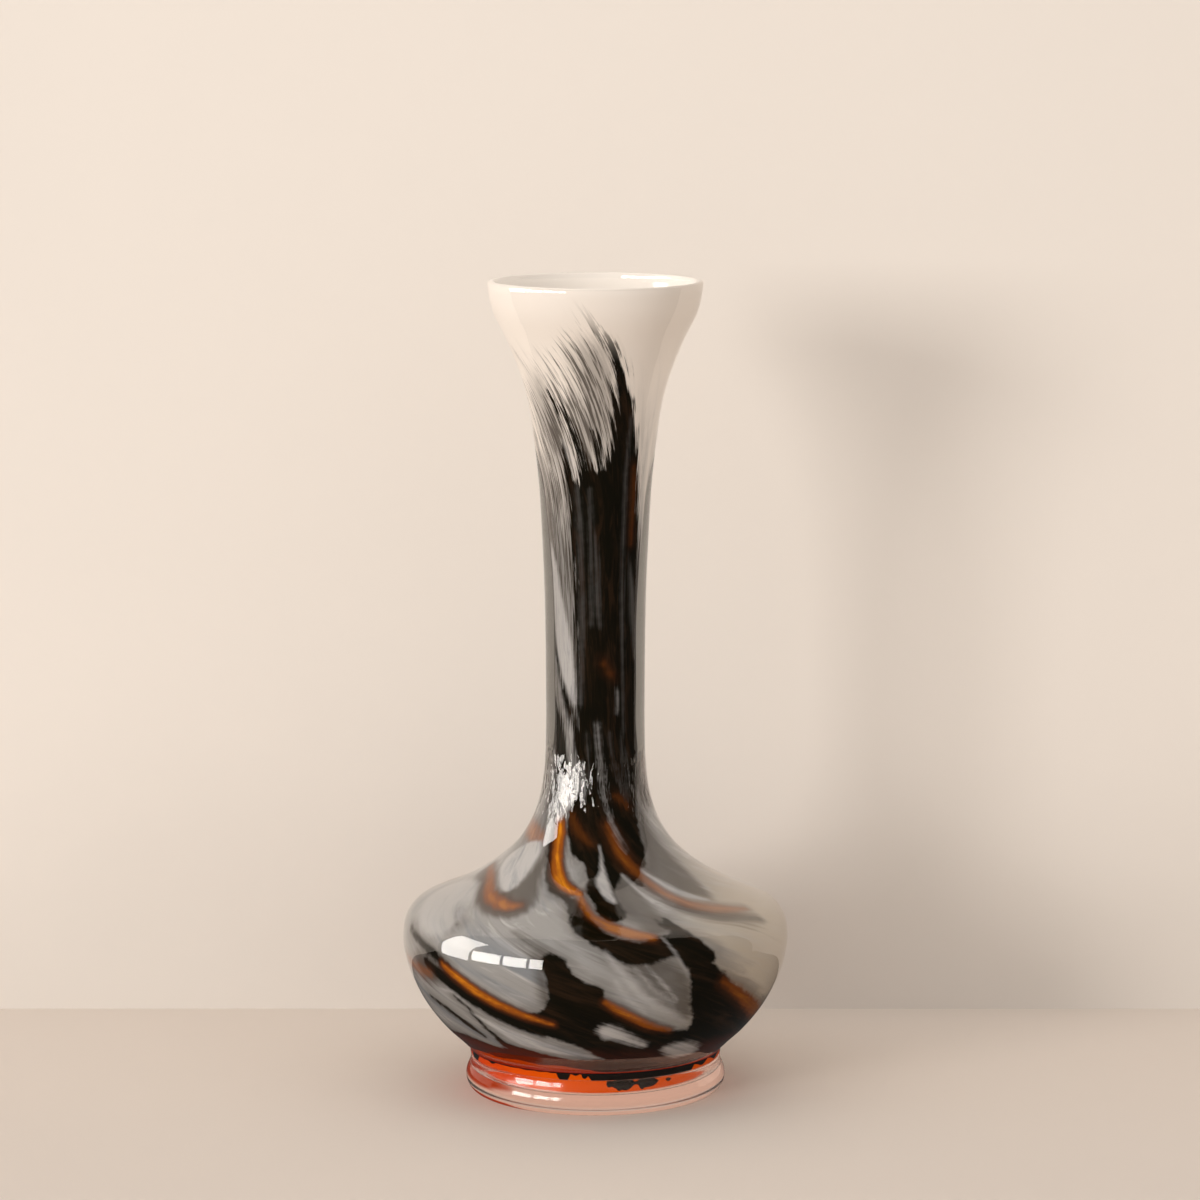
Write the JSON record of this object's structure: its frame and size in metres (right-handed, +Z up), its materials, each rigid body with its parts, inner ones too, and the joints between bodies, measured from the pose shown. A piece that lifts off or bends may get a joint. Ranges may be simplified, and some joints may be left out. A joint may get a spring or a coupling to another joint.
{
  "type": "hand blown art glass vase",
  "caption": "Long-necked hand blown glass vase with a flared lip, a squat marbled belly in a clear casing, and a clear foot with an orange core.",
  "frame": {"origin": "centre of the circle that the foot stands on", "axes": "+Z up along the vase's axis of turning; +Y points away from the side taken as the front"},
  "size_m": [0.1424, 0.1424, 0.3],
  "materials": {
    "opal_lining": "opaque cream white opal glass, fire polished",
    "marbled_layer": "opaque black glass drawn into streaks with amber, smoky grey and white",
    "clear_casing": "clear, fire polished",
    "black_skirt": "opaque black glass that ran down in short drips",
    "orange_core": "translucent orange glass",
    "clear_foot": "clear with a faint pink cast, polished, ground flat where it stands"
  },
  "bodies": {
    "root": {"opal_lining": "opal_lining", "marbled_layer": "marbled_layer", "clear_casing": "clear_casing", "black_skirt": "black_skirt", "orange_core": "orange_core", "clear_foot": "clear_foot"}
  },
  "joints": []
}
